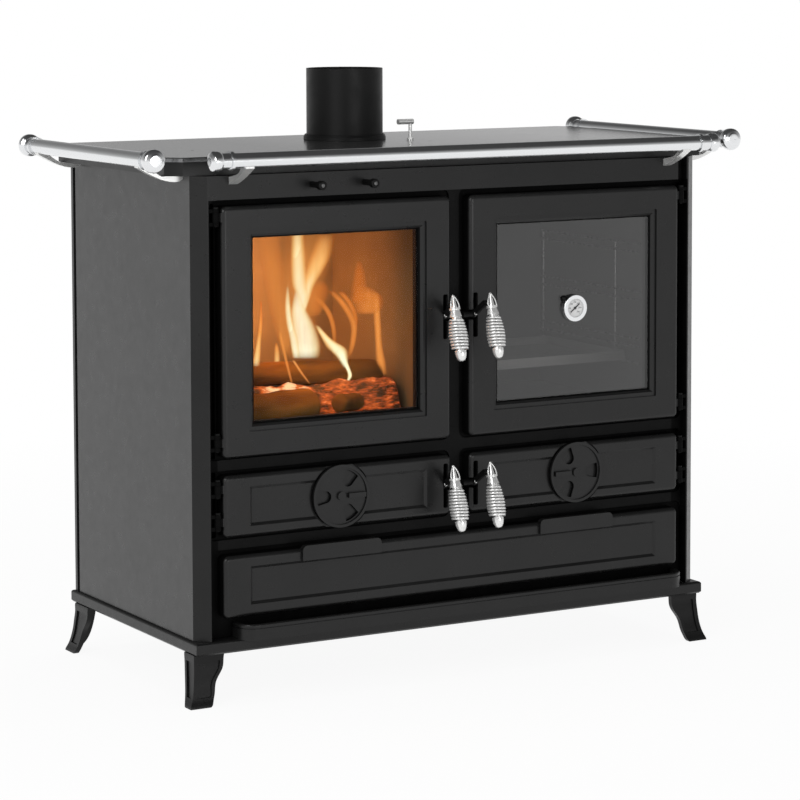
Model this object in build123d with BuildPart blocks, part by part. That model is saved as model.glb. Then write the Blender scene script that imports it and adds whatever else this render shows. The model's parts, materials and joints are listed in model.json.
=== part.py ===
"""Wood cookstove: fire door and oven door over two small doors and a full-width drawer.

Millimetres. The front faces -Y, +Z is up, z = 0 is the floor.
Every piece is written to parts/ as its own file.
"""
from build123d import *
from math import atan2, cos, degrees, pi, radians, sin
import os

os.makedirs("parts", exist_ok=True)

# ---------------------------------------------------------------- driving dimensions
body_hw = 474.0               # half width over the side panels
cook_height = 858.0           # top of the cooking plate above the datum
foot_z = -4.0                 # underside of the feet; the finished stove is lifted onto z = 0
floor_shift_y = 33.1          # moves the body so that the whole stove is centred on the origin
gap = 0.3                     # clearance between pieces

# cooktop
cook_hw = body_hw + 35.0
plate_t = 7.0                 # cooking plate thickness
band_z0 = cook_height - 29.0  # underside of the cooktop band
cook_front_y = -229.5
cook_back_y = 226.0
cook_chamfer = 22.0
band_ledge, band_rib = 65.0, 45.0     # width of the band's top at the sides, and at the front and back

# plinth, ash lip and legs
plinth_hw = body_hw + 6.0
plinth_front_y = -250.0
plinth_back_y = 236.0
plinth_z0, plinth_z1 = 78.0, 98.0
plinth_ease = 3.0             # cut corner round the plinth's underside
lip_x = (-407.0, 436.0)       # ash lip
lip_front_y = plinth_front_y - 20.0
lip_top_z = plinth_z1 + 25.0
lip_r, lip_wall, lip_floor = 30.0, 8.0, 4.0
leg_t = 9.0                   # wall of the legs
leg_inset = (1.5, 13.0)       # leg corner from the plinth's side and front
bolt_inset = (20.0, 30.0)     # leg bolt from the plinth's side and front
bolt_r = 4.0

# outer panels and inner shell
panel_front_y = -226.0
panel_back_y = 213.0
back_y0, back_y1 = 223.0, 231.0
panel_t = 7.5
shell_t = 2.5
shell_hw = body_hw - panel_t - gap

# front casting
front_y = -245.0              # face of the front casting
rib_y = -229.0                # face of the ribs between the doors
seat_y = -225.0               # face the door seals meet
casting_back_y = -213.0
bevel_x = 21.0
recess_hw = body_hw - 24.0
recess_top = band_z0 - 38.0
recess_r = 12.0
rib_hw = 9.5

# doors and drawer
door_face_y = -250.0
door_back_y = -226.0
door_in, door_out = 17.5, recess_hw - 19.5
door_mid = (door_in + door_out) / 2
door_r = 9.0                  # corners seen from the front
door_edge_r = 7.5             # rounding of the front edges
up_z0, up_z1 = 386.0, recess_top - 10.0
low_z0, low_z1 = 261.0, 359.0
drw_z0, drw_z1 = 132.5, 231.5
panel_inset = 46.0            # plain border of a door beside its panel or glass
panel_depth = 3.5
panel_slope = 52.0            # degrees between the panel's sloped walls and the depth

hinge_x, hinge_y = recess_hw - 12.0, -243.0
hinge_pin_r = 3.0
knuckle_r = 5.6
up_knuckles = ((up_z0 + 18.0, up_z0 + 31.0), (up_z1 - 24.0, up_z1 - 10.0))
low_knuckles = ((low_z0 + 18.0, low_z0 + 31.0), (low_z1 - 28.0, low_z1 - 15.0))

# latch handles
handle_x = 28.5
slot_hw = 4.3
grip_x = handle_x + 6.5        # the grips stand outside their slots
spindle_y = -243.5
up_spindle_z = (up_z0 + up_z1) / 2 + 2.5
low_spindle_z = (low_z0 + low_z1) / 2 - 0.5
spindle_r = 5.0
grip_lean = 15.4              # degrees the grip leans away from the door as it hangs
grip_len = 107.0
grip_top = (-41.0, 37.5)      # y, z of the grip's top from the spindle
coil_turns = 10
coil_wire_r = 2.1
coil_end_r, coil_mid_r = 9.2, 13.6
ferrule_end, tip_start = 35.0, 89.5   # distances down the grip from its top
core_r = 9.4
shoulder_r = (7.6, 10.2)      # top and foot of the shoulder above the coil
stub_d, stub_len, stub_r = 14.0, 12.0, 2.0

# air discs of the lower doors
disc_r = 50.5
disc_t = 8.0
disc_rim = 4.5
disc_x = door_mid - 1.0
pocket_r, pocket_depth = disc_r + 3.5, 5.0
disc_z = (low_z0 + low_z1) / 2
hub_r = 7.0

# rails
rail_z = cook_height - 3.0
rail_r = 12.3
side_rail_x = cook_hw + 33.0
side_rail_y = (cook_front_y - 12.1, cook_back_y + 18.7)
front_rail_y = front_y - 51.0
front_rail_x = cook_hw - 45.0
side_button_r, front_button_r = 18.5, 16.0
cap_len, cap_dome = 29.0, 10.0
bracket_w = 15.0

# flue, damper and air rods
flue_x, flue_y = -36.0, 74.0
flue_r = 65.0
flue_t = 2.0
flue_top = cook_height + 121.0
flue_wall = 111.0             # full-width wall of the outlet, above the part that the collar holds
collar_r = flue_r + 5.0
collar_hole_r = flue_r - 7.0
rod_xs = (-268.5, -174.0)     # air control rods
rod_z = band_z0 - 19.5
rod_r = 5.0
damper_xy = (48.0, -4.0)

# inside
deck_z = up_z0 - 2.0          # floor of the firebox and the oven space
deck_t = 2.5
low_deck_z = low_z0 - 2.0     # floor of the ash and soot spaces
wall_x = (-12.0, -9.5)        # wall between the fire side and the oven side
grate_hole_x = (-body_hw + 99.0, -70.0)
grate_hole_y = (-150.0, 105.0)
brick_t = 26.0
brick_x = (-body_hw + 62.3, -40.7)    # inner faces of the side bricks
brick_y = (-205.0, 112.0)
brick_z0 = deck_z + gap
brick_h = (up_z1 - 54.7 - gap - brick_z0) / 2
oven_x = (30.0, body_hw - 43.0)
oven_z = (up_z0 + 12.0, up_z1 - 9.0)
oven_back_y = 190.0
rack_levels = (672.8, 658.4, 589.8, 575.4, 508.2, 493.8, 465.5)

parts = {}


def front_plane(y):
    """A sketch plane facing the viewer: local x is X, local y is Z."""
    return Plane(origin=(0, y, 0), x_dir=(1, 0, 0), z_dir=(0, -1, 0))


def side_plane(x):
    """A sketch plane facing +X: local x is Y, local y is Z."""
    return Plane(origin=(x, 0, 0), x_dir=(0, 1, 0), z_dir=(1, 0, 0))


def block(x, y, z, mode=Mode.ADD):
    """A box between two limits on each axis."""
    with Locations(((x[0] + x[1]) / 2, (y[0] + y[1]) / 2, (z[0] + z[1]) / 2)):
        Box(abs(x[1] - x[0]), abs(y[1] - y[0]), abs(z[1] - z[0]), mode=mode)


def plate(x, z, y, r=0.0, mode=Mode.ADD):
    """A plate facing the viewer, from y[0] at the front to y[1] at the back."""
    with BuildSketch(front_plane(y[1])) as outline:
        with Locations(((x[0] + x[1]) / 2, (z[0] + z[1]) / 2)):
            if r:
                RectangleRounded(abs(x[1] - x[0]), z[1] - z[0], r)
            else:
                Rectangle(abs(x[1] - x[0]), z[1] - z[0])
    extrude(outline.sketch, amount=y[1] - y[0], mode=mode)


def rod_x(x, y, z, r, mode=Mode.ADD):
    with Locations(Location(((x[0] + x[1]) / 2, y, z), (0, 90, 0))):
        Cylinder(r, abs(x[1] - x[0]), mode=mode)


def rod_y(x, y, z, r, mode=Mode.ADD):
    with Locations(Location((x, (y[0] + y[1]) / 2, z), (90, 0, 0))):
        Cylinder(r, abs(y[1] - y[0]), mode=mode)


def rod_z_axis(x, y, z, r, mode=Mode.ADD):
    with Locations((x, y, (z[0] + z[1]) / 2)):
        Cylinder(r, z[1] - z[0], mode=mode)


def keep(name, part):
    """Label a piece, move it to the centred origin, feet on z = 0, and file it."""
    part = part.moved(Location((0, floor_shift_y, -foot_z)))
    part.label = name
    parts[name] = part
    return part


def octagon(hw, y0, y1, c):
    """Outline of a rectangle with four cut corners."""
    Polyline((-hw, y0 + c), (-hw + c, y0), (hw - c, y0), (hw, y0 + c),
             (hw, y1 - c), (hw - c, y1), (-hw + c, y1), (-hw, y1 - c), close=True)


# ---------------------------------------------------------------- plinth and legs
front_bolt = (-plinth_hw + bolt_inset[0], plinth_front_y + bolt_inset[1])
corner = (-plinth_hw + leg_inset[0], plinth_front_y + leg_inset[1])
back_corner_y = plinth_back_y - leg_inset[1]
back_bolt = (corner[0] + front_bolt[1] - corner[1], back_corner_y - front_bolt[0] + corner[0])
bolt_xy = [(sx * bx, by) for bx, by in (front_bolt, back_bolt) for sx in (1, -1)]
plinth_ease_z = plinth_z0 + plinth_ease
with BuildPart() as plinth:
    depth = plinth_back_y - plinth_front_y
    mid_y = (plinth_front_y + plinth_back_y) / 2
    with BuildSketch(Plane.XY.offset(plinth_z0)):
        with Locations((0, mid_y)):
            Rectangle(2 * (plinth_hw - plinth_ease), depth - 2 * plinth_ease)
    with BuildSketch(Plane.XY.offset(plinth_ease_z)):
        with Locations((0, mid_y)):
            Rectangle(2 * plinth_hw, depth)
    loft()
    with BuildSketch(Plane.XY.offset(plinth_ease_z)):
        with Locations((0, mid_y)):
            Rectangle(2 * plinth_hw, depth)
    extrude(amount=plinth_z1 - plinth_ease_z)
    fillet(plinth.edges().filter_by(Axis.Z, reverse=True).group_by(Axis.Z)[-1], 4)
    inner_hw = plinth_hw - 40
    inner_y = (plinth_front_y + 45, plinth_back_y - 46)
    block((-inner_hw, inner_hw), inner_y, (plinth_z0 - 1, plinth_z1 - 6), Mode.SUBTRACT)
    for bx, by in bolt_xy:
        rod_z_axis(bx, by, (plinth_z0 - 1, plinth_z0 + 12), bolt_r + 0.1, Mode.SUBTRACT)
    # ash lip: a shallow tray with rounded front corners, a groove under its rim
    lip_mid_x = (lip_x[0] + lip_x[1]) / 2
    lip_back_y = rib_y - gap

    def lip_outline(inset):
        """The tray's plan, drawn in from its outer face."""
        reach = lip_back_y - lip_front_y
        with Locations((lip_mid_x, lip_back_y)):
            RectangleRounded(lip_x[1] - lip_x[0] - 2 * inset, 2 * (reach - inset), lip_r - inset)

    with BuildSketch(Plane.XY.offset(plinth_z1 - 0.5)) as tray_plan:
        lip_outline(0)
    extrude(tray_plan.sketch, amount=lip_top_z - plinth_z1 + 0.5)
    with BuildSketch(Plane.XY.offset(plinth_z1 + lip_floor)) as hollow_plan:
        lip_outline(lip_wall)
    extrude(hollow_plan.sketch, amount=lip_top_z - plinth_z1, mode=Mode.SUBTRACT)
    behind_lip = (lip_back_y, lip_back_y + 60)
    block((lip_x[0] - 1, lip_x[1] + 1), behind_lip, (plinth_z1, lip_top_z + 1), Mode.SUBTRACT)
    lip_rim = plinth.faces().sort_by(Axis.Z)[-1].outer_wire().edges()
    fillet(lip_rim, 2.6)
    with BuildSketch(Plane.XY.offset(lip_top_z - 7.4)) as groove_plan:
        lip_outline(-1)
        with BuildSketch(mode=Mode.PRIVATE) as inner_plan:
            lip_outline(1.6)
        add(inner_plan.sketch, mode=Mode.SUBTRACT)
        with Locations((lip_mid_x, lip_back_y + 50)):
            Rectangle(lip_x[1] - lip_x[0] + 10, 100, mode=Mode.SUBTRACT)
    extrude(groove_plan.sketch, amount=1.8, mode=Mode.SUBTRACT)
keep("base_plinth", plinth.part)

leg_top_z = plinth_z0 - gap
# height, how far the corner stands outside and in front of its place at the top, width of the two wings
leg_stations = ((foot_z, 12.5, 14.0, 35.0, 22.0), (1.5, 11.0, 12.5, 38.0, 24.0), (11.0, 7.0, 9.0, 37.5, 27.5),
                (26.0, 3.5, 5.5, 37.5, 31.0), (38.0, 2.0, 3.5, 40.5, 32.5), (47.0, 1.2, 2.5, 46.0, 33.5),
                (55.0, 0.6, 1.5, 50.0, 34.0), (66.0, 0.2, 0.5, 51.5, 34.5), (leg_top_z, 0.0, 0.0, 52.5, 35.0))


def leg_section(z, cx, cy, wide, narrow):
    """L-shaped section of a leg, its corner at cx, cy and its wide wing along X."""
    with BuildSketch(Plane.XY.offset(z)) as section:
        with BuildLine():
            Polyline((cx, cy), (cx + wide, cy), (cx + wide, cy + leg_t), (cx + leg_t, cy + leg_t),
                     (cx + leg_t, cy + narrow), (cx, cy + narrow), close=True)
        make_face()
    return section.sketch


def panel_section(z, cx, cy, width, along_x):
    """Section of the sunk field in a wing's outer face."""
    lo, hi, out, deep = 7.5, width - 6.5, -2.0, 2.4
    corners = [(lo, out), (hi, out), (hi, deep), (lo, deep)]
    if not along_x:
        corners = [(b, a) for a, b in corners]
    with BuildSketch(Plane.XY.offset(z)) as section:
        with BuildLine():
            Polyline([(cx + a, cy + b) for a, b in corners], close=True)
        make_face()
    return section.sketch


placed = [(z, corner[0] - out, corner[1] - front, wide, narrow)
          for z, out, front, wide, narrow in leg_stations]
sunk = placed[2:8]
with BuildPart() as leg:
    loft([leg_section(*station) for station in placed])
    loft([panel_section(z, cx, cy, wide, True) for z, cx, cy, wide, _ in sunk], mode=Mode.SUBTRACT)
    loft([panel_section(z, cx, cy, narrow, False) for z, cx, cy, _, narrow in sunk], mode=Mode.SUBTRACT)
    with BuildSketch(Plane.XY.offset(leg_top_z)):
        with BuildLine():
            px, py = corner[0] + leg_t - 1, corner[1] + leg_t - 1
            Polyline((px, py), (px + 42, py), (px, py + 25), close=True)
        make_face()
    extrude(amount=-5)
    rod_z_axis(*front_bolt, (plinth_z0 - 12, plinth_z0 + 2), bolt_r + 0.2, Mode.SUBTRACT)

front_left_leg = leg.part
quarter_turn = Location((corner[0] - corner[1], back_corner_y + corner[0], 0), (0, 0, -90))
back_left_leg = front_left_leg.moved(quarter_turn)
for name, piece in (("front", front_left_leg), ("back", back_left_leg)):
    keep("leg_" + name + "_left", piece)
    keep("leg_" + name + "_right", piece.mirror(Plane.YZ))

head_z = plinth_z0 - 5.4
with BuildPart() as leg_bolts:
    for bx, by in bolt_xy:
        rod_z_axis(bx, by, (head_z, plinth_z0 + 11), bolt_r)
        with BuildSketch(Plane.XY.offset(head_z)):
            with Locations((bx, by)):
                RegularPolygon(6.5, 6)
        extrude(amount=-5)
keep("leg_bolts", leg_bolts.part)

# ---------------------------------------------------------------- front casting
with BuildPart() as casting:
    edge_x = body_hw - panel_t - 0.5
    with BuildSketch(Plane.XY.offset(plinth_z1 + gap)):
        with BuildLine():
            Polyline((-body_hw, panel_front_y), (-body_hw + bevel_x, front_y), (body_hw - bevel_x, front_y),
                     (body_hw, panel_front_y), (edge_x, panel_front_y), (edge_x, casting_back_y),
                     (-edge_x, casting_back_y), (-edge_x, panel_front_y), close=True)
        make_face()
    extrude(amount=band_z0 - gap - plinth_z1 - gap)
    recess = (front_y - 1, rib_y)
    seat = (rib_y - 1, seat_y)
    through = (seat_y - 1, casting_back_y + 1)
    plate((-recess_hw, recess_hw), (plinth_z1 - 40, recess_top), recess, recess_r, Mode.SUBTRACT)
    for sx in (-1, 1):
        for z0, z1 in ((up_z0 - 5, recess_top), (low_z0 - 7, low_z1 + 5)):
            plate((sx * rib_hw, sx * recess_hw), (z0, z1), seat, recess_r, Mode.SUBTRACT)
        for z0, z1, border, r in ((up_z0, up_z1, 26, 10), (low_z0, low_z1, 16, 6)):
            opening_x = (sx * (door_in + 26), sx * (door_out - 26))
            plate(opening_x, (z0 + border, z1 - border), through, r, Mode.SUBTRACT)
            # deep channel beside the hinges
            channel_x = (sx * (door_out + 2.5), sx * (recess_hw - 1))
            plate(channel_x, (z0 - 3, z1 + 3), (seat_y - 1, casting_back_y - 2), 3, Mode.SUBTRACT)
    plate((-recess_hw, recess_hw), (plinth_z1 - 40, drw_z1 + 7), seat, recess_r, Mode.SUBTRACT)
    drawer_hole_hw = door_out - 18.5
    plate((-drawer_hole_hw, drawer_hole_hw), (drw_z0 + 6.5, drw_z1 - 6.5), through, 4, Mode.SUBTRACT)
    # on the right the channel runs up to the cooktop band
    slot_z = (recess_top - recess_r - 2, band_z0 + 1)
    block((door_out + 1, recess_hw - 0.5), (front_y - 1, rib_y), slot_z, Mode.SUBTRACT)
    for rx in rod_xs:
        rod_y(rx, (front_y - 1, casting_back_y + 1), rod_z, rod_r + 0.05, Mode.SUBTRACT)
    # fixed hinge lugs
    for sx in (-1, 1):
        for z0, z1 in up_knuckles + low_knuckles:
            for a, b in ((z0 - 6.4, z0 - 0.4), (z1 + 0.4, z1 + 6.4)):
                rod_z_axis(sx * hinge_x, hinge_y, (a, b), knuckle_r)
                block((sx * hinge_x, sx * (recess_hw + 2)), (hinge_y - 1.5, hinge_y + knuckle_r), (a, b))
            rod_z_axis(sx * hinge_x, hinge_y, (z0 - 10, z1 + 10), hinge_pin_r + 0.02, Mode.SUBTRACT)
keep("front_casting", casting.part)

with BuildPart() as pins:
    for sx in (-1, 1):
        for z0, z1 in up_knuckles + low_knuckles:
            rod_z_axis(sx * hinge_x, hinge_y, (z0 - 7.5, z1 + 7.5), hinge_pin_r)
            rod_z_axis(sx * hinge_x, hinge_y, (z1 + 6.8, z1 + 9.3), hinge_pin_r + 1.6)
keep("hinge_pins", pins.part)

# ---------------------------------------------------------------- outer panels and inner shell
outer_z = (plinth_z1 + gap, band_z0 - gap)
for name, sx in (("side_panel_left", -1), ("side_panel_right", 1)):
    with BuildPart() as panel:
        block((sx * (body_hw - panel_t), sx * body_hw), (panel_front_y + gap, panel_back_y), outer_z)
    keep(name, panel.part)

with BuildPart() as back:
    block((-body_hw, body_hw), (back_y0, back_y1), outer_z)
keep("back_panel", back.part)

with BuildPart() as shell:
    y0, y1 = casting_back_y + gap, back_y0 - gap
    inner_y = (y0 - 1, y1 - shell_t)
    fire_side = (-shell_hw + shell_t, wall_x[0])
    oven_side = (wall_x[1], shell_hw - shell_t)
    block((-shell_hw, shell_hw), (y0, y1), outer_z)
    for side in (fire_side, oven_side):
        block(side, inner_y, (deck_z, outer_z[1] + 1), Mode.SUBTRACT)
        block(side, inner_y, (low_deck_z, deck_z - deck_t), Mode.SUBTRACT)
    block((fire_side[0], oven_side[1]), inner_y, (outer_z[0] + shell_t, low_deck_z - deck_t), Mode.SUBTRACT)
    block(grate_hole_x, grate_hole_y, (deck_z - 4, deck_z + 2), Mode.SUBTRACT)
keep("inner_shell", shell.part)

# ---------------------------------------------------------------- cooktop
with BuildPart() as band:
    with BuildSketch(Plane.XY.offset(band_z0)):
        with BuildLine():
            octagon(cook_hw - 1, cook_front_y + 1, cook_back_y - 1, cook_chamfer)
        make_face()
        with Locations((0, (cook_front_y + cook_back_y) / 2)):
            opening_d = cook_back_y - cook_front_y - 2 * band_rib
            Rectangle(2 * (cook_hw - band_ledge), opening_d, mode=Mode.SUBTRACT)
    extrude(amount=cook_height - plate_t - gap - band_z0)
keep("cooktop_band", band.part)

with BuildPart() as hob:
    with BuildSketch(Plane.XY.offset(cook_height - plate_t)):
        with BuildLine():
            octagon(cook_hw, cook_front_y, cook_back_y, cook_chamfer)
        make_face()
        with Locations((flue_x, flue_y)):
            Circle(collar_hole_r, mode=Mode.SUBTRACT)
        with Locations(damper_xy):
            Circle(3.05, mode=Mode.SUBTRACT)
        with Locations((-394, -72), (57, -53)):
            Circle(3.0, mode=Mode.SUBTRACT)
    extrude(amount=plate_t)
    chamfer(hob.faces().sort_by(Axis.Z)[-1].outer_wire().edges(), 1.2)
keep("cooking_plate", hob.part)

with BuildPart() as collar:
    spigot_r = flue_r - flue_t - gap
    with BuildSketch(Plane.XZ):
        with BuildLine():
            Polyline((collar_hole_r - 3, -20), (collar_hole_r - gap, -20), (collar_hole_r - gap, gap),
                     (collar_r, gap), (collar_r, 5), (collar_r - 2, 9), (flue_r + gap, 9), (flue_r + gap, 3),
                     (spigot_r, 3), (spigot_r, 34), (spigot_r - 2.5, 34), (spigot_r - 2.5, 8),
                     (collar_hole_r - 3, 2), close=True)
        make_face()
    revolve(axis=Axis.Z)
    collar.part = collar.part.moved(Location((flue_x, flue_y, cook_height)))
keep("flue_collar", collar.part)

with BuildPart() as pipe:
    rod_z_axis(flue_x, flue_y, (cook_height + 3 + gap, flue_top - 1), flue_r - 0.8)
    rod_z_axis(flue_x, flue_y, (flue_top - flue_wall, flue_top), flue_r)
    rod_z_axis(flue_x, flue_y, (cook_height, flue_top + 1), flue_r - flue_t, Mode.SUBTRACT)
keep("flue_pipe", pipe.part)

with BuildPart() as damper:
    dx, dy = damper_xy
    rod_z_axis(dx, dy, (cook_height - 60, cook_height + 31), 3.0)
    rod_z_axis(dx, dy, (cook_height + gap, cook_height + 3), 6.0)
    rod_x((dx - 24, dx + 5), dy, cook_height + 31, 4.6)
    block((dx - 45, dx), (dy - 1, dy + 1), (cook_height - 60, cook_height - 30))
keep("damper_handle", damper.part)

# ---------------------------------------------------------------- rails


def cap(at, direction, button_r):
    """One rail end: a domed button, a neck and a ring, along a unit direction that points outwards."""
    spin = {(1, 0): (0, 90, 0), (-1, 0): (0, -90, 0), (0, 1): (-90, 0, 0), (0, -1): (90, 0, 0)}[direction]
    ring_r, neck_r, edge_r = rail_r + 2.8, rail_r + 0.4, button_r - 0.6
    with BuildPart() as piece:
        with BuildSketch(Plane.XZ):
            with BuildLine():
                Polyline((0, -cap_len), (ring_r, -cap_len), (ring_r, -cap_len + 5), (neck_r, -cap_len + 5),
                         (neck_r, -9), (neck_r + 1, -9), (edge_r, -6), (button_r, -3), (button_r, 2))
                Spline((button_r, 2), (0.9 * button_r, 6.4), (0.62 * button_r, 8.8), (0, cap_dome),
                       tangents=((0, 1), (-1, 0)))
                Line((0, cap_dome), (0, -cap_len))
            make_face()
        revolve(axis=Axis.Z)
    return piece.part.moved(Location((at[0], at[1], rail_z), spin))


bar_end = cap_len + 0.2
with BuildPart() as front_rail:
    rod_x((-front_rail_x + bar_end, front_rail_x - bar_end), front_rail_y, rail_z, rail_r)
keep("front_rail", front_rail.part)
with BuildPart() as side_rails:
    for sx in (-1, 1):
        rod_y(sx * side_rail_x, (side_rail_y[0] + bar_end, side_rail_y[1] - bar_end), rail_z, rail_r)
keep("side_rails", side_rails.part)
end_caps = [cap((sx * front_rail_x, front_rail_y), (sx, 0), front_button_r) for sx in (-1, 1)]
end_caps += [cap((sx * side_rail_x, side_rail_y[k]), (0, 2 * k - 1), side_button_r)
             for sx in (-1, 1) for k in (0, 1)]
with BuildPart() as caps:
    for piece in end_caps:
        add(piece)
keep("rail_end_caps", caps.part)


def bracket(reach, foot, lower, upper):
    """A rail bracket: local x is the distance out from the wall, local y is Z.

    foot is the height of its flange on the wall; lower and upper are points that the arm's edges pass.
    """
    saddle_z = rail_z - rail_r
    with BuildPart() as piece:
        with BuildSketch(Plane.XZ):
            with BuildLine():
                Line((gap, foot[1]), (gap, foot[0]))
                Spline([(gap, foot[0])] + lower + [(reach + 8, saddle_z)])
                Polyline((reach + 8, saddle_z), (reach + 8, saddle_z + 4), (reach - 8, saddle_z + 4))
                Spline([(reach - 8, saddle_z + 4)] + upper)
                Line(upper[-1], (gap, foot[1]))
            make_face()
        extrude(amount=bracket_w / 2, both=True)
        with Locations(Location((reach, 0, rail_z), (90, 0, 0))):
            Cylinder(rail_r + 0.05, bracket_w + 2, mode=Mode.SUBTRACT)
    return piece.part


front_reach = front_y - front_rail_y
side_reach = side_rail_x - body_hw
band_out = cook_hw - body_hw
front_lower = [(13, band_z0 - 9.5), (front_reach - 12, band_z0 + 2.5)]
front_upper = [(front_reach - 14, band_z0 + 8), (18, band_z0 + 1), (5, band_z0 - 1.5)]
front_bracket = bracket(front_reach, (band_z0 - 14, band_z0 - 2), front_lower, front_upper)
side_lower = [(6, band_z0 - 9), (16, band_z0 - 10), (side_reach - 34, band_z0 - 6.5),
              (side_reach - 12, band_z0 + 3)]
side_upper = [(side_reach - 14, band_z0 + 10.5), (band_out + 6, band_z0 + 1.5), (band_out + 2, band_z0 - 0.8)]
side_bracket = bracket(side_reach, (band_z0 - 6, band_z0 - 0.8), side_lower, side_upper)
front_bracket_x = door_out - 22.5
side_bracket_y = 196.0
bracket_copies = []
for side in (-1, 1):
    bracket_copies.append(front_bracket.moved(Location((side * front_bracket_x, front_y, 0), (0, 0, -90))))
    bracket_copies.append(side_bracket.moved(Location((body_hw, side * side_bracket_y, 0))))
    bracket_copies.append(side_bracket.moved(Location((-body_hw, side * side_bracket_y, 0), (0, 0, 180))))
with BuildPart() as brackets:
    for piece in bracket_copies:
        add(piece)
keep("rail_brackets", brackets.part)

# ---------------------------------------------------------------- doors


def knuckles(sx, spans):
    """Hinge barrels of a door, about the pins."""
    for z0, z1 in spans:
        rod_z_axis(sx * hinge_x, hinge_y, (z0, z1), knuckle_r)
        block((sx * (door_out - 3), sx * hinge_x), (hinge_y - 4, hinge_y + 4), (z0, z1))
        rod_z_axis(sx * hinge_x, hinge_y, (z0 - 1, z1 + 1), hinge_pin_r + 0.06, Mode.SUBTRACT)


def latch_cut(sx, zc):
    """The slot, notch and bearing for the latch spindle."""
    slot_x = (sx * (handle_x - slot_hw), sx * (handle_x + slot_hw))
    plate(slot_x, (zc - 37, zc + 36), (door_face_y - 1, door_face_y + 14), 3, Mode.SUBTRACT)
    notch_y = (door_face_y - 1, spindle_y + spindle_r + 1)
    block((sx * (door_in - 1), sx * handle_x), notch_y, (zc - 8.5, zc + 8.5), Mode.SUBTRACT)
    rod_x((sx * handle_x, sx * (handle_x + 11)), spindle_y, zc, spindle_r + 0.05, Mode.SUBTRACT)


def sunk_panel(x, z, depth):
    """A sunk field with sloped walls in a door's face."""
    plane = Plane(origin=(0, door_face_y, 0), x_dir=(1, 0, 0), z_dir=(0, 1, 0))
    with BuildSketch(plane) as field:
        with Locations(((x[0] + x[1]) / 2, -(z[0] + z[1]) / 2)):
            Rectangle(abs(x[1] - x[0]), z[1] - z[0])
    extrude(field.sketch, amount=depth, taper=panel_slope, mode=Mode.SUBTRACT)


def framed_door(sx, knuckle_spans):
    """Upper door: frame with a stepped opening for the glass."""

    def inset(d):
        return sx * (door_in + d), sx * (door_out - d)

    glass_y = door_face_y + 9
    glass_z = (up_z0 + panel_inset - 3.5, up_z1 - panel_inset + 5.5)
    with BuildPart() as door:
        plate(inset(0), (up_z0, up_z1), (door_face_y, door_back_y), door_r)
        front_edges = door.faces().sort_by(Axis.Y)[0].outer_wire().edges()
        fillet(front_edges, door_edge_r)
        step_y = (door_face_y - 1, door_face_y + 3)
        plate(inset(panel_inset), (up_z0 + 40, up_z1 - 38), step_y, 2, Mode.SUBTRACT)
        plane = Plane(origin=(0, door_face_y + 3, 0), x_dir=(1, 0, 0), z_dir=(0, 1, 0))
        with BuildSketch(plane) as slope:
            with Locations((sx * door_mid, -(up_z0 + up_z1 + 2) / 2)):
                Rectangle(door_out - door_in - 2 * 51, up_z1 - up_z0 - 2 * 46)
        extrude(slope.sketch, amount=6, taper=48, mode=Mode.SUBTRACT)
        plate(inset(58), (up_z0 + 53, up_z1 - 51), (door_face_y - 1, door_back_y + 1), mode=Mode.SUBTRACT)
        plate(inset(8), (up_z0 + 8, up_z1 - 8), (door_back_y - 3, door_back_y + 1), 6, Mode.SUBTRACT)
        plate(inset(17), (up_z0 + 17, up_z1 - 17), (door_back_y - 3, door_back_y), 4)
        plate(inset(47.5), glass_z, (glass_y, door_back_y + 1), 3, Mode.SUBTRACT)
        knuckles(sx, knuckle_spans)
        latch_cut(sx, up_spindle_z)
    with BuildPart() as seal:
        plate(inset(8.3), (up_z0 + 8.3, up_z1 - 8.3), (door_back_y - 2.9, seat_y - 0.4), 6)
        plate(inset(16.7), (up_z0 + 16.7, up_z1 - 16.7), (door_back_y - 4, seat_y + 1), 4, Mode.SUBTRACT)
    pane_z = (glass_z[0] + 0.5, glass_z[1] - 0.5)
    with BuildPart() as glass:
        plate(inset(48), pane_z, (glass_y + 0.1, glass_y + 4.1), 3)
    with BuildPart() as keeper:
        plate(inset(48), pane_z, (glass_y + 4.3, door_back_y - 1), 3)
        plate(inset(59), (up_z0 + 54, up_z1 - 52), (door_face_y, door_back_y + 1), 2, Mode.SUBTRACT)
    return door.part, seal.part, glass.part, keeper.part


fire = framed_door(-1, up_knuckles)
oven = framed_door(1, up_knuckles)
for prefix, pieces in (("fire_door", fire), ("oven_door", oven)):
    for suffix, piece in zip(("frame", "seal", "glass", "glass_retainer"), pieces):
        keep(prefix + "_" + suffix, piece)


def petal(angle, grow=0.0):
    """A tongue-shaped air slot that widens outwards, drawn at an angle on the current sketch."""
    turned = Rotation(0, 0, angle)
    with Locations(turned * Location((27, 0, 0))):
        Circle(9.5 + grow)
    with Locations(turned):
        with BuildSketch(mode=Mode.PRIVATE) as flank:
            with BuildLine():
                Polyline((25, -9.3 - grow), (disc_r, -14.6 - grow), (disc_r, 14.6 + grow), (25, 9.3 + grow),
                         close=True)
            make_face()
        add(flank.sketch)


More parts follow.
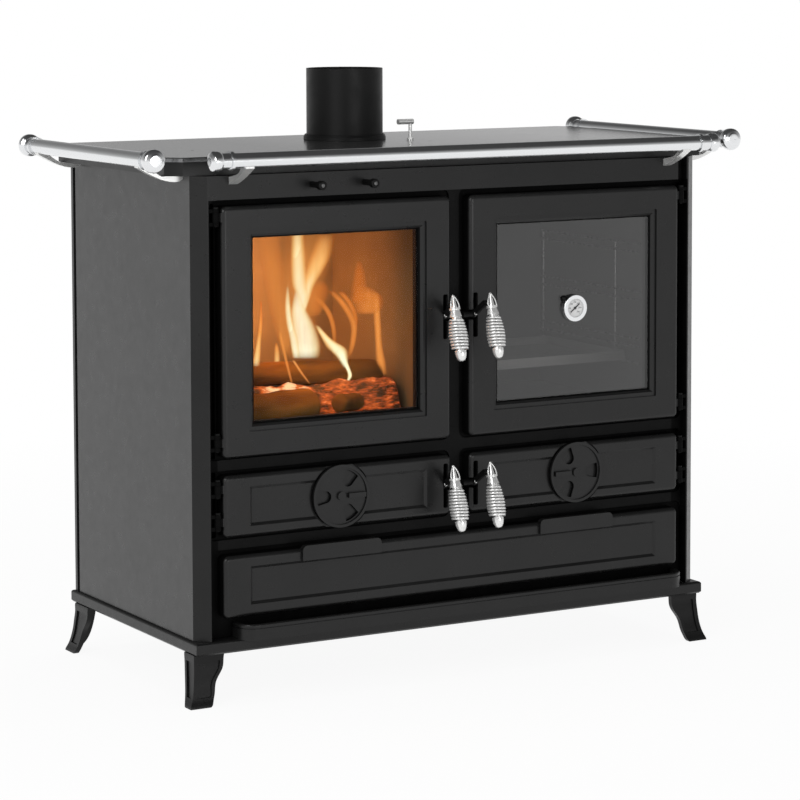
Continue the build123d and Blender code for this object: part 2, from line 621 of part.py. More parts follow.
def small_door(sx, knuckle_spans):
    """Lower door: sunk panel with a round pocket for the air disc."""
    xs = (sx * door_in, sx * door_out)
    hx = sx * disc_x
    petals_at = 0 if sx < 0 else 180
    slot_r = disc_r - disc_rim - 3.0
    with BuildPart() as door:
        plate(xs, (low_z0, low_z1), (door_face_y, door_back_y), door_r)
        fillet(door.faces().sort_by(Axis.Y)[0].outer_wire().edges(), door_edge_r)
        panel_x = (sx * (door_in + panel_inset), sx * (door_out - panel_inset))
        sunk_panel(panel_x, (low_z0 + 15.5, low_z1 - 19.5), panel_depth)
        hollow_x = (sx * (door_in + 40), sx * (door_out - 30))
        plate(hollow_x, (low_z0 + 18, low_z1 - 18), (door_back_y - 12, door_back_y + 1), 3, Mode.SUBTRACT)
        with BuildSketch(front_plane(door_face_y + pocket_depth)) as pocket:
            with Locations((hx, disc_z)):
                Circle(pocket_r)
        extrude(pocket.sketch, amount=pocket_depth + 1, mode=Mode.SUBTRACT)
        with BuildSketch(front_plane(door_back_y)) as vents:
            with Locations((hx, disc_z)):
                for k in range(3):
                    petal(petals_at + 120 * k, -2.0)
            with Locations((hx, disc_z)):
                Circle(slot_r - 2, mode=Mode.INTERSECT)
        extrude(vents.sketch, amount=40, mode=Mode.SUBTRACT)
        rod_y(hx, (door_face_y - 5, door_back_y + 1), disc_z, 4.06, Mode.SUBTRACT)
        knuckles(sx, knuckle_spans)
        latch_cut(sx, low_spindle_z)
    with BuildPart() as disc:
        y_back = door_face_y + pocket_depth - 0.9
        y_face = y_back - disc_t
        rod_y(hx, (y_face, y_back), disc_z, disc_r)
        rod_y(hx, (y_face - 1, y_face + 3), disc_z, disc_r - disc_rim, Mode.SUBTRACT)
        with BuildSketch(front_plane(y_back)) as slots:
            with Locations((hx, disc_z)):
                for k in range(3):
                    petal(petals_at + 60 + 120 * k)
            with Locations((hx, disc_z)):
                Circle(slot_r, mode=Mode.INTERSECT)
        extrude(slots.sketch, amount=disc_t + 2, mode=Mode.SUBTRACT)
        rod_y(hx, (y_face - 1, y_back - 1), disc_z, hub_r)
        rod_y(hx, (y_back - 2, door_back_y - 6), disc_z, 4.0)
        rod_y(hx, (door_back_y - 11.6, door_back_y - 5), disc_z, 8.0)
        bar_y = (y_face - 3, y_face + 3.5)
        block((hx - sx * 12, hx - sx * 43), bar_y, (disc_z - 3.7, disc_z + 3.7))
    return door.part, disc.part


for name, sx in (("left", -1), ("right", 1)):
    door, disc = small_door(sx, low_knuckles)
    keep("lower_" + name + "_door", door)
    keep("lower_" + name + "_air_disc", disc)

# ---------------------------------------------------------------- latch handles
lean = radians(grip_lean)
axis_dir = (-sin(lean), -cos(lean))


def along(d):
    """Point on the grip's axis, d below its top, as y and z from the spindle."""
    return grip_top[0] + axis_dir[0] * d, grip_top[1] + axis_dir[1] * d


def grip_location():
    """Places a grip drawn down the local -Z axis from the origin."""
    return Location((0, grip_top[0], grip_top[1]), (-grip_lean, 0, 0))


collar_low, collar_top = ferrule_end - 10.8, ferrule_end - 14.2
rod_under_coil = coil_end_r - coil_wire_r - 0.3
with BuildPart() as core:
    with BuildSketch(Plane.XZ):
        with BuildLine():
            Line((0, 1.0), (0, -grip_len))
            Spline((0, -grip_len), (0.75 * core_r, -grip_len + 4.5), (core_r - 0.2, -grip_len + 12),
                   (core_r, -tip_start), tangents=((1, 0), (0, 1)))
            Polyline((core_r, -tip_start), (rod_under_coil, -tip_start), (rod_under_coil, -ferrule_end),
                     (shoulder_r[1], -ferrule_end), (shoulder_r[0], -collar_low), (core_r, -collar_low + 0.6),
                     (core_r, -collar_top), (core_r / 2, -collar_top + 0.4), (1.9, -4.0), (2.7, -1.6),
                     (2.2, 0.4), (0, 1.0))
        make_face()
    revolve(axis=Axis.Z)
    for angle in (-15, 195):
        c, n = cos(radians(angle)), sin(radians(angle))
        with BuildLine() as wire:
            prong_end = (8.0 * c, 8.0 * n, -collar_top - 0.4)
            ThreePointArc((1.4 * c, 1.4 * n, -1.4), (5.7 * c, 5.7 * n, -8.5), prong_end)
        with BuildSketch(Plane(origin=wire.line @ 0, z_dir=wire.line % 0)) as wire_end:
            Circle(1.1)
        sweep(wire_end.sketch, path=wire.line)
    with Locations(Location((0, stub_len / 2, -stub_d), (90, 0, 0))):
        Cylinder(stub_r, stub_len)
grip_core = core.part

coil_top = -(ferrule_end + coil_wire_r + 0.2)
coil_len = tip_start - ferrule_end - 2 * coil_wire_r - 0.4


def coil_point(turn):
    """Centre of the coil's wire after a number of turns, on a barrel-shaped helix."""
    s = turn / coil_turns
    swell = sin(pi * s / 1.24) if s < 0.62 else cos(pi * (s - 0.62) / 1.24)
    r = coil_end_r + (coil_mid_r - coil_end_r) * swell
    return Vector(r * cos(2 * pi * turn), r * sin(2 * pi * turn), coil_top - coil_len * s)


def coil_tangent(turn):
    return (coil_point(turn + 1e-4) - coil_point(turn - 1e-4)).normalized()


def biarc(p0, t0, p1, t1):
    """Two arcs that leave p0 along t0 and reach p1 along t1."""
    v, t = p1 - p0, t0 + t1
    a, b = 2 * (1 - t0.dot(t1)), v.dot(t)
    d = (-b + (b * b + a * v.dot(v)) ** 0.5) / a
    q0, q1 = p0 + t0 * d, p1 - t1 * d
    joint = (q0 + q1) * 0.5
    TangentArc(p0, joint, tangent=t0)
    TangentArc(joint, p1, tangent=(q1 - q0).normalized())


stations = [k / 4 for k in range(4 * coil_turns + 1)]
with BuildPart() as coil:
    with BuildLine() as turns:
        for a, b in zip(stations, stations[1:]):
            biarc(coil_point(a), coil_tangent(a), coil_point(b), coil_tangent(b))
    with BuildSketch(Plane(origin=turns.line @ 0, z_dir=turns.line % 0)) as wire_end:
        Circle(coil_wire_r)
    sweep(wire_end.sketch, path=turns.line)
grip_coil = coil.part
samples = [coil_point(k / 60) for k in range(60 * coil_turns + 1)]
least = min((samples[i] - samples[j]).length for i in range(0, len(samples), 5)
            for j in range(i + 30, min(i + 100, len(samples)))) - 2 * coil_wire_r
print(f"grip coil: {coil_turns} turns, least gap to itself {least:.2f} mm")


def lever(sx):
    """The latch lever: spindle, arm and catch finger, about the spindle's axis."""
    stub_y, stub_z = along(stub_d)
    boss_y, boss_z = stub_y + 9.5 * cos(lean), stub_z - 9.5 * sin(lean)
    arm_len = (boss_y ** 2 + boss_z ** 2) ** 0.5
    with BuildPart() as piece:
        rod_x((sx * 7, sx * (handle_x + 9.5)), 0, 0, spindle_r)
        rod_x((sx * (handle_x - 2.6), sx * (handle_x + 2.6)), 0, 0, 6.3)
        with BuildSketch(side_plane(sx * handle_x)):
            with Locations((boss_y / 2, boss_z / 2)):
                SlotCenterToCenter(arm_len, 9.0, rotation=degrees(atan2(boss_z, boss_y)))
        extrude(amount=2.6, both=True)
        rod_x((sx * handle_x, sx * grip_x), boss_y, boss_z, 4.0)
        with Locations(Location((sx * grip_x, boss_y, boss_z), (-grip_lean - 90, 0, 0))):
            Cylinder(4.4, 5.0)
        with Locations(Location((sx * grip_x, boss_y, boss_z), (-grip_lean - 90, 0, 0))):
            Cylinder(stub_r + 0.04, stub_len, mode=Mode.SUBTRACT)
        block((sx * 7, sx * 11), (0, 9.5), (-5, 5))
    return piece.part


for prefix, sx, zc in (("fire", -1, up_spindle_z), ("oven", 1, up_spindle_z),
                       ("lower_left", -1, low_spindle_z), ("lower_right", 1, low_spindle_z)):
    to_door = Location((0, spindle_y, zc))
    keep(prefix + "_latch_lever", lever(sx).moved(to_door))
    hang = Location((sx * grip_x, spindle_y, zc)) * grip_location()
    keep(prefix + "_grip_core", grip_core.moved(hang))
    keep(prefix + "_grip_coil", grip_coil.moved(hang))

# ---------------------------------------------------------------- thermometer on the oven glass
tx, tz = door_mid, (up_z0 + up_z1 + 2) / 2
glass_y = door_face_y + 9.1
bezel_r, dial_r = 22.5, 15.4
with BuildPart() as bezel:
    rod_y(tx, (glass_y - 7.5, glass_y - 0.1), tz, bezel_r)
    rod_y(tx, (glass_y - 8.5, glass_y - 2.0), tz, dial_r + 0.2, Mode.SUBTRACT)
    fillet(bezel.faces().sort_by(Axis.Y)[0].outer_wire().edges(), 1.2)
keep("thermometer_case", bezel.part)
with BuildPart() as dial:
    rod_y(tx, (glass_y - 4.0, glass_y - 2.1), tz, dial_r)
    rod_y(tx, (glass_y - 5.0, glass_y - 2.0), tz, 0.85, Mode.SUBTRACT)
keep("thermometer_dial", dial.part)
with BuildPart() as needle:
    with Locations(Location((tx, glass_y - 5.0, tz), (0, 52, 0))):
        Box(1.5, 0.8, 22)
    rod_y(tx, (glass_y - 5.6, glass_y - 4.3), tz, 2.2)
    rod_y(tx, (glass_y - 5.0, glass_y - 2.3), tz, 0.8)
keep("thermometer_needle", needle.part)

# ---------------------------------------------------------------- drawer
finger_lips = (151.0, 294.0)
with BuildPart() as drawer_front:
    plate((-door_out, door_out), (drw_z0, drw_z1), (door_face_y, door_back_y), door_r)
    fillet(drawer_front.faces().sort_by(Axis.Y)[0].outer_wire().edges(), door_edge_r)
    sunk_panel((-door_out + panel_inset, door_out - panel_inset), (drw_z0 + 19, drw_z1 - 19), panel_depth)
    for sx in (-1, 1):
        with BuildSketch(front_plane(door_face_y + 7)) as lip_outline:
            with Locations((sx * sum(finger_lips) / 2, drw_z1 - 7)):
                Rectangle(finger_lips[1] - finger_lips[0], 24)
            fillet(lip_outline.vertices().group_by(Axis.Y)[-1], 8)
        extrude(lip_outline.sketch, amount=12)
keep("drawer_front", drawer_front.part)
box_hw, box_back_y = door_out - 26.5, 170.0
box_z = (drw_z0 + 9.5, drw_z1 - 13.5)
with BuildPart() as drawer_box:
    block((-box_hw, box_hw), (door_back_y + 0.2, box_back_y), box_z)
    hollow_y = (door_back_y + 2.7, box_back_y - 2.5)
    block((-box_hw + 2.5, box_hw - 2.5), hollow_y, (box_z[0] + 2.5, box_z[1] + 2), Mode.SUBTRACT)
keep("drawer_box", drawer_box.part)
with BuildPart() as runners:
    runner_y = (casting_back_y + 0.6, 200.0)
    for sx in (-1, 1):
        shelf_x = (sx * (box_hw - 19), sx * (shell_hw - shell_t - 0.2))
        block(shelf_x, runner_y, (box_z[0] - 3.8, box_z[0] - gap))
        block((sx * (box_hw + 4), sx * (box_hw + 7.5)), runner_y, (box_z[0] - 3.8, box_z[0] + 33))
keep("drawer_runners", runners.part)

# ---------------------------------------------------------------- air control rods
for name, rx in (("left", rod_xs[0]), ("right", rod_xs[1])):
    with BuildPart() as knob:
        rod_y(rx, (front_y - 27, casting_back_y + 90), rod_z, rod_r)
        rod_y(rx, (front_y - 36, front_y - 26), rod_z, 7.4)
        fillet(knob.faces().sort_by(Axis.Y)[0].outer_wire().edges(), 2)
        block((rx - 10, rx + 10), (casting_back_y + 50, casting_back_y + 85), (rod_z - 6, rod_z + 6))
    keep("air_rod_" + name, knob.part)

# ---------------------------------------------------------------- firebox
brick_tiers = [(brick_z0 + (brick_h + gap) * m, brick_z0 + (brick_h + gap) * m + brick_h) for m in (0, 1)]
side_brick_l = (brick_y[1] + brick_t - brick_y[0] - 2 * gap) / 2
side_bricks_y = (brick_y[0], brick_y[0] + side_brick_l + gap)
back_brick_w = (brick_x[1] - brick_x[0] - gap) / 2
with BuildPart() as bricks:
    for z0, z1 in brick_tiers:
        for x0 in (brick_x[0] - gap - brick_t, brick_x[1] + gap):
            for y0 in side_bricks_y:
                block((x0, x0 + brick_t), (y0, y0 + side_brick_l), (z0, z1))
        for x0 in (brick_x[0], brick_x[0] + back_brick_w + gap):
            block((x0, x0 + back_brick_w), (brick_y[1], brick_y[1] + brick_t), (z0, z1))
keep("firebricks", bricks.part)

grate_x = (grate_hole_x[0] + 1.0, grate_hole_x[1] - 1.0)
grate_y = (grate_hole_y[0] + 1.0, grate_hole_y[1] - 1.0)
bar_count, bar_slot_w = 14, 9.0
slot_pitch = (grate_x[1] - grate_x[0] - 14.0) / bar_count
with BuildPart() as grate:
    block(grate_x, grate_y, (deck_z + 0.5, deck_z + 12))
    flange_y = (grate_y[0] - 16, grate_y[1] + 7.5)
    block((grate_x[0] - 16, grate_x[1] + 16), flange_y, (deck_z + 0.4, deck_z + 3.4))
    for k in range(bar_count):
        slot_x = grate_x[0] + 14.0 + slot_pitch * k
        slot_y = (grate_y[0] + 19, grate_y[1] - 19)
        block((slot_x, slot_x + bar_slot_w), slot_y, (deck_z - 4, deck_z + 16), Mode.SUBTRACT)
keep("fire_grate", grate.part)

baffle_z = brick_tiers[-1][1] + gap
with BuildPart() as baffle:
    block((-body_hw + 44, -20), (-110, brick_y[1] + brick_t), (baffle_z, baffle_z + 8))
keep("baffle_plate", baffle.part)

pan_x, pan_y, pan_z = (-body_hw + 89, -62), (-205, 95), (low_deck_z + gap, low_deck_z + 71)
with BuildPart() as pan:
    block(pan_x, pan_y, pan_z)
    inner_x, inner_y = [(low + shell_t, high - shell_t) for low, high in (pan_x, pan_y)]
    block(inner_x, inner_y, (pan_z[0] + shell_t, pan_z[1] + 1), Mode.SUBTRACT)
keep("ash_pan", pan.part)

# ---------------------------------------------------------------- oven
oven_wall = 2.0
with BuildPart() as oven_box:
    block((oven_x[0] - oven_wall, oven_x[1] + oven_wall), (casting_back_y + 0.6, oven_back_y + oven_wall),
          (oven_z[0] - oven_wall, oven_z[1] + oven_wall))
    block(oven_x, (casting_back_y - 1, oven_back_y), oven_z, Mode.SUBTRACT)
keep("oven_box", oven_box.part)

rack_wire_r = 2.0
with BuildPart() as racks:
    for sx, wall in ((1, oven_x[0]), (-1, oven_x[1])):
        for z in rack_levels:
            rod_y(wall + sx * 6.0, (-142, 178), z, rack_wire_r)
        for y in (-60, 174):
            rod_z_axis(wall + sx * 2.4, y, (rack_levels[-1] - 2, rack_levels[0] + 2), rack_wire_r + 0.1)
keep("oven_rack_rails", racks.part)

tray_y = (-100, 150)
with BuildPart() as tray:
    z0 = rack_levels[-1] + rack_wire_r + gap
    block((oven_x[0] + 4.8, oven_x[1] - 4.8), tray_y, (z0, z0 + 1.2))
    block((oven_x[0] + 9, oven_x[1] - 9), tray_y, (z0, z0 + 16.2))
    hollow_y = (tray_y[0] + 2.5, tray_y[1] - 2.5)
    block((oven_x[0] + 11.5, oven_x[1] - 11.5), hollow_y, (z0 + 2.2, z0 + 17), Mode.SUBTRACT)
keep("oven_tray", tray.part)

for name, part in parts.items():
    export_step(part, f"parts/{name}.step")
box = Compound(children=list(parts.values())).bounding_box()
low, high = box.min, box.max
print(f"bounds x {low.X:.2f} {high.X:.2f} y {low.Y:.2f} {high.Y:.2f} z {low.Z:.2f} {high.Z:.2f}")
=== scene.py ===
"""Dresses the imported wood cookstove: finishes, fire, dial and small trim, in one photographed view.

Metres, the row's frame: the front faces -Y, +Z is up, the floor is z = 0.
"""
import json
from math import cos, pi, radians, sin

import bmesh
import bpy
from mathutils import Matrix, Vector
from mathutils import noise as mathutils_noise

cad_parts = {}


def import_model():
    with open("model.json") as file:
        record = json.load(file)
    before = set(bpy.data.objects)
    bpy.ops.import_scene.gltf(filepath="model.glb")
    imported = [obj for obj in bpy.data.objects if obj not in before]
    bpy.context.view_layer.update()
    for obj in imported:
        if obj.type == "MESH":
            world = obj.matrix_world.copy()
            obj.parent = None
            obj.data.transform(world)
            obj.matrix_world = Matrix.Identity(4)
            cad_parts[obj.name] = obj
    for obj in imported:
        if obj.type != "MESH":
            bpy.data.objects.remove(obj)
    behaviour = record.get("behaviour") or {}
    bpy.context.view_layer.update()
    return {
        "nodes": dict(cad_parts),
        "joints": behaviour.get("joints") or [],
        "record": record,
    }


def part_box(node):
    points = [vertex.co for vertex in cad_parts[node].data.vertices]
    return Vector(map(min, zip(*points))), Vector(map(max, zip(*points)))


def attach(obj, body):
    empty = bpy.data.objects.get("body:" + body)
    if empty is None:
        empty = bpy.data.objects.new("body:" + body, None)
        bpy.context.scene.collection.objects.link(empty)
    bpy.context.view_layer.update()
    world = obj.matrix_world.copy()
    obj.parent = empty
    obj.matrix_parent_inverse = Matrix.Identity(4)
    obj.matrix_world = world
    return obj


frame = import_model()
nodes = frame["nodes"]
MM = 0.001

# ---------------------------------------------------------------- node tree helpers


def new_material(name):
    """A material with an empty Principled shader, its tree and that shader."""
    mat = bpy.data.materials.new(name)
    mat.use_nodes = True
    tree = mat.node_tree
    return mat, tree, tree.nodes["Principled BSDF"]


def add_node(tree, kind, **values):
    """Adds a node; a key that names an input socket sets it, any other sets a property."""
    node = tree.nodes.new(kind)
    for key, value in values.items():
        socket = key.replace("_", " ")
        if key in node.inputs:
            node.inputs[key].default_value = value
        elif socket in node.inputs:
            node.inputs[socket].default_value = value
        else:
            setattr(node, key, value)
    return node


def ramp(tree, source, stops):
    """A colour ramp fed by a socket, with (place, grey or colour) stops."""
    node = tree.nodes.new("ShaderNodeValToRGB")
    elements = node.color_ramp.elements
    elements.remove(elements[1])
    elements[0].position = stops[0][0]
    for k, (place, shade) in enumerate(stops):
        element = elements.new(place) if k else elements[0]
        element.color = (shade, shade, shade, 1) if isinstance(shade, float) else (*shade, 1)
    tree.links.new(source, node.inputs["Fac"])
    return node.outputs["Color"]


def noise(tree, scale, detail=4.0, roughness=0.55, stretch=(1, 1, 1)):
    """Noise in the row's own metres, so that its grain has a real size."""
    place = tree.nodes.new("ShaderNodeTexCoord")
    mapping = add_node(tree, "ShaderNodeMapping", Scale=stretch)
    tree.links.new(place.outputs["Object"], mapping.inputs["Vector"])
    node = add_node(tree, "ShaderNodeTexNoise", Scale=scale, Detail=detail, Roughness=roughness)
    tree.links.new(mapping.outputs["Vector"], node.inputs["Vector"])
    return node.outputs["Fac"]


def bump(tree, shader, height, strength, distance):
    """Chains a bump onto the shader's normal."""
    node = add_node(tree, "ShaderNodeBump", Strength=strength, Distance=distance)
    tree.links.new(height, node.inputs["Height"])
    if shader.inputs["Normal"].is_linked:
        tree.links.new(shader.inputs["Normal"].links[0].from_socket, node.inputs["Normal"])
    tree.links.new(node.outputs["Normal"], shader.inputs["Normal"])


def attribute(tree, name):
    """A float stored on the mesh's points."""
    return add_node(tree, "ShaderNodeAttribute", attribute_name=name).outputs["Fac"]


def coordinate(tree, axis, kind="Object"):
    """One axis of a texture coordinate; on the row's pieces "Object" is the row's own frame in metres."""
    place = tree.nodes.new("ShaderNodeTexCoord")
    split = tree.nodes.new("ShaderNodeSeparateXYZ")
    tree.links.new(place.outputs[kind], split.inputs["Vector"])
    return split.outputs[axis]


def spread(tree, source, low, high, **values):
    """A socket stretched so that low gives 0 and high gives 1, or what To_Min and To_Max say."""
    node = add_node(tree, "ShaderNodeMapRange", From_Min=low, From_Max=high, **values)
    tree.links.new(source, node.inputs["Value"])
    return node.outputs["Result"]


def maths(tree, operation, *terms):
    """The result of a maths node; each term is a socket or a float."""
    node = add_node(tree, "ShaderNodeMath", operation=operation)
    for socket, term in zip(node.inputs, terms):
        if isinstance(term, float):
            socket.default_value = term
        else:
            tree.links.new(term, socket)
    return node.outputs["Value"]


def inside_width(tree, half_width):
    """1 where a point lies within a half width of the middle, along X."""
    return maths(tree, "LESS_THAN", maths(tree, "ABSOLUTE", coordinate(tree, "X")), half_width)


def beyond_width(tree, half_width):
    """1 where a point lies further than a half width from the middle, along X."""
    return maths(tree, "SUBTRACT", 1.0, inside_width(tree, half_width))


def plain_shader(tree, grey, rough, gloss=0.5):
    """A second, plain grey shader to mix with a material's own."""
    shader = add_node(tree, "ShaderNodeBsdfPrincipled", Roughness=rough)
    shader.inputs["Base Color"].default_value = (grey, grey, grey, 1)
    shader.inputs["Specular IOR Level"].default_value = gloss
    return shader


def mixed(tree, factor, first, second):
    """Two shaders mixed by a socket."""
    mix = tree.nodes.new("ShaderNodeMixShader")
    tree.links.new(factor, mix.inputs["Fac"])
    tree.links.new(first, mix.inputs[1])
    tree.links.new(second, mix.inputs[2])
    return mix.outputs["Shader"]


def show(tree, shader):
    """Makes a shader socket the surface of the material."""
    tree.links.new(shader, tree.nodes["Material Output"].inputs["Surface"])


def painted(name, low, high, rough, grain=900.0, grain_strength=0.18, mottle=9.0, gloss=0.5):
    """Satin stove paint: a fine cast grain under it, faint mottling, and uneven gloss."""
    mat, tree, shader = new_material(name)
    shader.inputs["Specular IOR Level"].default_value = gloss
    tone = ramp(tree, noise(tree, mottle, 6.0), [(0.3, low), (0.7, high)])
    tree.links.new(tone, shader.inputs["Base Color"])
    sheen = ramp(tree, noise(tree, mottle * 6, 5.0), [(0.3, rough - 0.04), (0.7, rough + 0.05)])
    tree.links.new(sheen, shader.inputs["Roughness"])
    bump(tree, shader, noise(tree, grain, 3.0), grain_strength, 0.0004)
    bump(tree, shader, noise(tree, 14.0, 3.0), 0.05, 0.002)
    return mat


def casting_material():
    """The front casting: its face is painted and smooth; painted shade makes its recesses, and the hinge lugs
    beside the doors, dull and nearly black.
    """
    mat = painted("front_casting", 0.006, 0.009, 0.30, gloss=0.27)
    tree = mat.node_tree
    face = tree.nodes["Principled BSDF"]
    # painted shade: a dull near-black mixed over the recesses and the hinge lugs, where shade falls
    dull_black = plain_shader(tree, 0.0, 0.6, 0.05)
    tone = ramp(tree, noise(tree, 40.0, 4.0), [(0.3, 0.001), (0.7, 0.003)])
    tree.links.new(tone, dull_black.inputs["Base Color"])
    behind = spread(tree, coordinate(tree, "Y"), casting_face_y, casting_face_y + recess_depth)
    depth = ramp(tree, behind, [(0.04, 0.0), (0.2, 0.78), (0.86, 0.78), (0.92, 1.0)])
    within = inside_width(tree, recess_half_width)
    recess = maths(tree, "MULTIPLY", depth, within)
    beside_doors = maths(tree, "MULTIPLY", within, beyond_width(tree, door_half_width))
    below_top = spread(tree, coordinate(tree, "Z"), recess_top_z, recess_top_z - 0.0005)
    hinge_lugs = maths(tree, "MULTIPLY", beside_doors, below_top)
    dark = maths(tree, "MAXIMUM", recess, hinge_lugs)
    show(tree, mixed(tree, dark, face.outputs["BSDF"], dull_black.outputs["BSDF"]))
    return mat


def shaded_door_paint(name, shade_from):
    """Door paint with painted shade: dull black deeper than a place along Y, and at the hinge knuckles."""
    mat = painted(name, 0.007, 0.010, 0.30, gloss=0.31)
    tree = mat.node_tree
    # painted shade: dull black on the window reveals, the panel and slot walls and the hinge knuckles, where
    # shade falls
    dull = plain_shader(tree, 0.002, 0.6, 0.05)
    deep = spread(tree, coordinate(tree, "Y"), shade_from, shade_from + 0.0003)
    black = maths(tree, "MAXIMUM", deep, beyond_width(tree, door_half_width))
    show(tree, mixed(tree, black, tree.nodes["Principled BSDF"].outputs["BSDF"], dull.outputs["BSDF"]))
    return mat


def chromed(name, tint=(0.82, 0.83, 0.85), rough=0.07, metal=1.0):
    """Bright plating with the faint waviness and smears of polished tube."""
    mat, tree, shader = new_material(name)
    shader.inputs["Base Color"].default_value = (*tint, 1)
    shader.inputs["Metallic"].default_value = metal
    smear = ramp(tree, noise(tree, 120.0, 5.0), [(0.35, rough), (0.75, rough + 0.07)])
    tree.links.new(smear, shader.inputs["Roughness"])
    bump(tree, shader, noise(tree, 40.0, 2.0), 0.04, 0.001)
    return mat


def grip_core_material(latch):
    """A grip's turned core: bright at its ends, with near-black painted shade under the coil."""
    mat = chromed(latch + "_grip_core", *bright_tone)
    tree = mat.node_tree
    bright = tree.nodes["Principled BSDF"]
    (_, _, low), (_, _, high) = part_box(latch + "_grip_coil")
    # painted shade: the core is near-black where the coil covers it
    shade_under_coil = plain_shader(tree, 0.02, 0.5)
    foot_bright, top_bright, soft = 0.003, 0.002, 0.001     # what stays bright at the coil's ends
    above = spread(tree, coordinate(tree, "Z"), low + foot_bright, low + foot_bright + soft)
    below = spread(tree, coordinate(tree, "Z"), high - top_bright, high - top_bright - soft)
    share = maths(tree, "MULTIPLY", above, below)
    show(tree, mixed(tree, share, bright.outputs["BSDF"], shade_under_coil.outputs["BSDF"]))
    return mat


def hob_material():
    """Ground cooking plate: fine straight grind marks, a soft sheen, and painted shade that makes it duller
    and darker towards the fire's side.
    """
    mat, tree, shader = new_material("hob_steel")
    shader.inputs["Metallic"].default_value = 1.0
    marks = noise(tree, 60.0, 6.0, 0.6, (1.0, 60.0, 1.0))
    tone = ramp(tree, marks, [(0.3, (0.31, 0.31, 0.313)), (0.7, (0.41, 0.41, 0.413))])
    tree.links.new(tone, shader.inputs["Base Color"])
    tree.links.new(ramp(tree, marks, [(0.3, 0.14), (0.7, 0.20)]), shader.inputs["Roughness"])
    bump(tree, shader, marks, 0.03, 0.0003)
    # painted shade: a dull dark mix that grows from the oven's side to the fire's side, standing in for the
    # plate's darker reflection there
    hob_shade = plain_shader(tree, 0.02, 0.6, 0.1)
    fire_x, oven_x, fire_side_shade, oven_side_shade = -0.25, 0.35, 0.34, 0.04
    hob_shade_share = spread(tree, coordinate(tree, "X"), fire_x, oven_x, To_Min=fire_side_shade, To_Max=oven_side_shade)
    show(tree, mixed(tree, hob_shade_share, shader.outputs["BSDF"], hob_shade.outputs["BSDF"]))
    return mat


def glass_material(name, tint, gloss_ior):
    """Heat-proof pane: mostly see-through, with a reflective skin."""
    mat, tree, unused = new_material(name)
    tree.nodes.remove(unused)
    see = add_node(tree, "ShaderNodeBsdfTransparent", Color=(*tint, 1))
    skin = add_node(tree, "ShaderNodeBsdfGlossy", Color=(1, 1, 1, 1))
    edge = add_node(tree, "ShaderNodeFresnel", IOR=gloss_ior)
    smears = noise(tree, 22.0, 5.0, 0.6, (1, 1, 0.4))
    tree.links.new(ramp(tree, smears, [(0.35, 0.02), (0.8, 0.09)]), skin.inputs["Roughness"])
    show(tree, mixed(tree, edge.outputs["Fac"], see.outputs["BSDF"], skin.outputs["BSDF"]))
    return mat


def brick_material():
    """Tan firebrick, mottled lighter and darker."""
    mat, tree, shader = new_material("firebrick")
    stops = [(0.3, (0.19, 0.12, 0.045)), (0.55, (0.22, 0.142, 0.055)), (0.75, (0.26, 0.17, 0.07))]
    tone = ramp(tree, noise(tree, 9.0, 6.0), stops)
    tree.links.new(tone, shader.inputs["Base Color"])
    shader.inputs["Roughness"].default_value = 0.9
    shader.inputs["Specular IOR Level"].default_value = 0.1
    bump(tree, shader, noise(tree, 260.0, 6.0), 0.25, 0.001)
    return mat


def rope_material():
    """White glass-fibre rope seal."""
    mat, tree, shader = new_material("rope_seal")
    strands = noise(tree, 300.0, 4.0, 0.6, (1, 1, 4))
    tree.links.new(ramp(tree, strands, [(0.3, 0.35), (0.7, 0.65)]), shader.inputs["Base Color"])
    shader.inputs["Roughness"].default_value = 0.95
    bump(tree, shader, strands, 0.4, 0.0006)
    return mat


def flame_material():
    """Fire: its colour and its opacity follow what is stored on its skin, broken into rising streaks."""
    mat, tree, unused = new_material("flame")
    tree.nodes.remove(unused)
    stops = [(0.0, (0.34, 0.08, 0.01)), (0.35, (0.62, 0.17, 0.025)), (0.6, (0.86, 0.33, 0.07)),
             (0.76, (0.96, 0.58, 0.20)), (0.9, (1.0, 0.93, 0.56)), (1.0, (1.0, 1.0, 0.74))]
    glow = add_node(tree, "ShaderNodeEmission", Strength=1.15)
    tree.links.new(ramp(tree, attribute(tree, "warmth"), stops), glow.inputs["Color"])
    clear = tree.nodes.new("ShaderNodeBsdfTransparent")
    streaks = ramp(tree, noise(tree, 90.0, 3.0, 0.5, (1, 1, 0.16)), [(0.3, 0.72), (0.55, 1.0)])
    body = maths(tree, "MULTIPLY", streaks, attribute(tree, "thickness"))
    show(tree, mixed(tree, body, clear.outputs["BSDF"], glow.outputs["Emission"]))
    return mat


def wood_material():
    """Burning log: dark brown wood with charred grain."""
    mat, tree, shader = new_material("burning_log")
    grain = noise(tree, 40.0, 7.0, 0.6, (0.25, 1, 1))
    stops = [(0.3, (0.07, 0.026, 0.003)), (0.5, (0.15, 0.062, 0.008)), (0.75, (0.23, 0.10, 0.014))]
    tone = ramp(tree, grain, stops)
    tree.links.new(tone, shader.inputs["Base Color"])
    shader.inputs["Roughness"].default_value = 0.95
    shader.inputs["Specular IOR Level"].default_value = 0.1
    bump(tree, shader, grain, 0.6, 0.004)
    return mat


